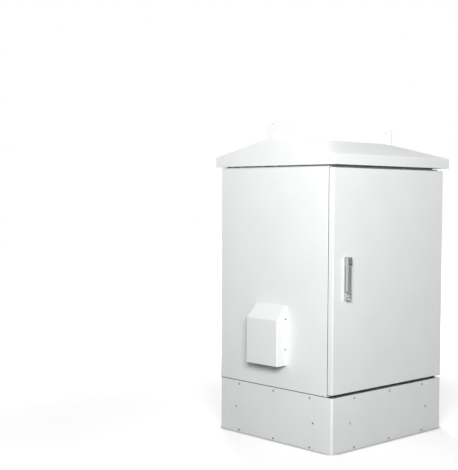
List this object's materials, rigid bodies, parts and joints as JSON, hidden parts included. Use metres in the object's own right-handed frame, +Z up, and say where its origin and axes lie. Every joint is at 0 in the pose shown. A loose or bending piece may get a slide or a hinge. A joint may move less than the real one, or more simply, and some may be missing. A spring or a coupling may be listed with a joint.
{
  "type": "roadside utility cabinet",
  "caption": "Outdoor equipment cabinet on a screwed plinth, with a gabled roof, lifting lugs, vent hoods, a swing handle and a rack inside.",
  "frame": {"origin": "centre of the plinth's footprint on the ground", "axes": "+X to the right along the width, +Y to the back, +Z up; the door faces -Y"},
  "size_m": [0.754, 0.6165, 1.192],
  "materials": {
    "powder_coat": "fine textured light grey powder coat",
    "galvanised_steel": "zinc plated, satin",
    "zinc_plated_fasteners": "zinc plated",
    "chromed_zinc": "chromed die casting",
    "black_paint": "black, satin",
    "black_plastic": "moulded, matt",
    "guard_wire": "bright plated",
    "white_plastic": "moulded, matt",
    "clear_plastic": "moulded, glossy",
    "black_rubber": "moulded",
    "black_foam": "foamed in place",
    "filter_fleece": "pressed fleece"
  },
  "bodies": {
    "cabinet": {"front_frame": "powder_coat", "side_panel_left": "powder_coat", "side_panel_right": "powder_coat", "rear_panel": "powder_coat", "roof": "powder_coat", "top_deck": "powder_coat", "floor_plate": "powder_coat", "gland_plate": "powder_coat", "intake_hood": "powder_coat", "exhaust_hood": "powder_coat", "plinth_posts": "powder_coat", "plinth_panels": "powder_coat", "depth_channels": "powder_coat", "rack_rails_front": "powder_coat", "rack_rails_rear": "powder_coat", "top_cross_channel": "powder_coat", "cable_panel": "powder_coat", "roof_bearers": "powder_coat", "plinth_base_ring": "galvanised_steel", "plinth_top_ring": "galvanised_steel", "hood_brackets": "galvanised_steel", "hinge_frame_leaves": "galvanised_steel", "lifting_lugs": "galvanised_steel", "plinth_screws": "zinc_plated_fasteners", "wall_screws": "zinc_plated_fasteners", "hex_bolts": "zinc_plated_fasteners", "rail_bolts": "zinc_plated_fasteners", "panel_fixings": "zinc_plated_fasteners", "control_unit": "black_paint", "fan_housing": "black_plastic", "service_lamp": "black_plastic", "filter_frame": "black_plastic", "fan_guards": "guard_wire", "door_switch": "white_plastic", "control_lights": "clear_plastic", "rubber_grommets": "black_rubber", "base_seal": "black_rubber", "filter_mat": "filter_fleece"},
    "door": {"door_skin": "powder_coat", "door_gasket": "black_foam", "hinge_door_leaves": "galvanised_steel", "handle_base": "chromed_zinc", "lock_housing": "galvanised_steel", "rod_guides": "galvanised_steel"},
    "handle_head": {"handle_head": "chromed_zinc", "latch_cam": "galvanised_steel"},
    "handle_lever": {"handle_lever": "chromed_zinc"},
    "key_cylinder": {"key_cylinder": "chromed_zinc"},
    "key_cover": {"key_cover": "chromed_zinc"},
    "upper_rod": {"upper_rod": "galvanised_steel"},
    "lower_rod": {"lower_rod": "galvanised_steel"},
    "switch_plunger": {"switch_plunger": "white_plastic"},
    "fan_rotor_front": {"fan_rotor_front": "black_plastic"},
    "fan_rotor_rear": {"fan_rotor_rear": "black_plastic"},
    "key_middle": {"key_middle": "black_plastic"},
    "key_up": {"key_up": "black_plastic"},
    "key_down": {"key_down": "black_plastic"},
    "key_left": {"key_left": "black_plastic"},
    "key_right": {"key_right": "black_plastic"}
  },
  "joints": [
    {"name": "door_hinge", "type": "hinge", "parent": "cabinet", "child": "door", "pos_m": [0.32, -0.278, 0.61375], "axis": [0, 0, 1], "range_deg": [0, 115]},
    {"name": "handle_turn", "type": "hinge", "parent": "door", "child": "handle_head", "pos_m": [-0.255, -0.302, 0.682], "axis": [0, -1, 0], "range_deg": [0, 90]},
    {"name": "handle_lift", "type": "hinge", "parent": "handle_head", "child": "handle_lever", "pos_m": [-0.255, -0.30215, 0.668], "axis": [-1, 0, 0], "range_deg": [0, 30]},
    {"name": "upper_rod_pivot", "type": "hinge", "parent": "handle_head", "child": "upper_rod", "pos_m": [-0.255, -0.2536, 0.696], "axis": [0, -1, 0], "range_deg": [-93.41, 0]},
    {"name": "lower_rod_pivot", "type": "hinge", "parent": "handle_head", "child": "lower_rod", "pos_m": [-0.255, -0.2536, 0.668], "axis": [0, -1, 0], "range_deg": [-92.31, 0]},
    {"name": "key_cylinder_turn", "type": "hinge", "parent": "door", "child": "key_cylinder", "pos_m": [-0.255, -0.3, 0.56], "axis": [0, -1, 0], "range_deg": [0, 90]},
    {"name": "key_cover_turn", "type": "hinge", "parent": "door", "child": "key_cover", "pos_m": [-0.255, -0.3073, 0.5495], "axis": [0, -1, 0], "range_deg": [0, 120]},
    {"name": "switch_press", "type": "slide", "parent": "cabinet", "child": "switch_plunger", "axis": [0, 1, 0], "range_m": [0, 0.004], "stiffness_N_per_m": 300, "springref_m": -0.002},
    {"name": "key_middle_press", "type": "slide", "parent": "cabinet", "child": "key_middle", "axis": [0, 1, 0], "range_m": [0, 0.0012], "stiffness_N_per_m": 400, "springref_m": -0.001},
    {"name": "key_up_press", "type": "slide", "parent": "cabinet", "child": "key_up", "axis": [0, 1, 0], "range_m": [0, 0.0012], "stiffness_N_per_m": 400, "springref_m": -0.001},
    {"name": "key_down_press", "type": "slide", "parent": "cabinet", "child": "key_down", "axis": [0, 1, 0], "range_m": [0, 0.0012], "stiffness_N_per_m": 400, "springref_m": -0.001},
    {"name": "key_left_press", "type": "slide", "parent": "cabinet", "child": "key_left", "axis": [0, 1, 0], "range_m": [0, 0.0012], "stiffness_N_per_m": 400, "springref_m": -0.001},
    {"name": "key_right_press", "type": "slide", "parent": "cabinet", "child": "key_right", "axis": [0, 1, 0], "range_m": [0, 0.0012], "stiffness_N_per_m": 400, "springref_m": -0.001},
    {"name": "fan_rotor_front_spin", "type": "hinge", "parent": "cabinet", "child": "fan_rotor_front", "pos_m": [0.305, 0.005, 0.782], "axis": [1, 0, 0], "continuous": true},
    {"name": "fan_rotor_rear_spin", "type": "hinge", "parent": "cabinet", "child": "fan_rotor_rear", "pos_m": [0.305, 0.091, 0.782], "axis": [1, 0, 0], "continuous": true}
  ],
  "couplings": [
    {"joint": "upper_rod_pivot", "follows": "handle_turn", "ratio": -1.0357},
    {"joint": "lower_rod_pivot", "follows": "handle_turn", "ratio": -1.0234}
  ]
}
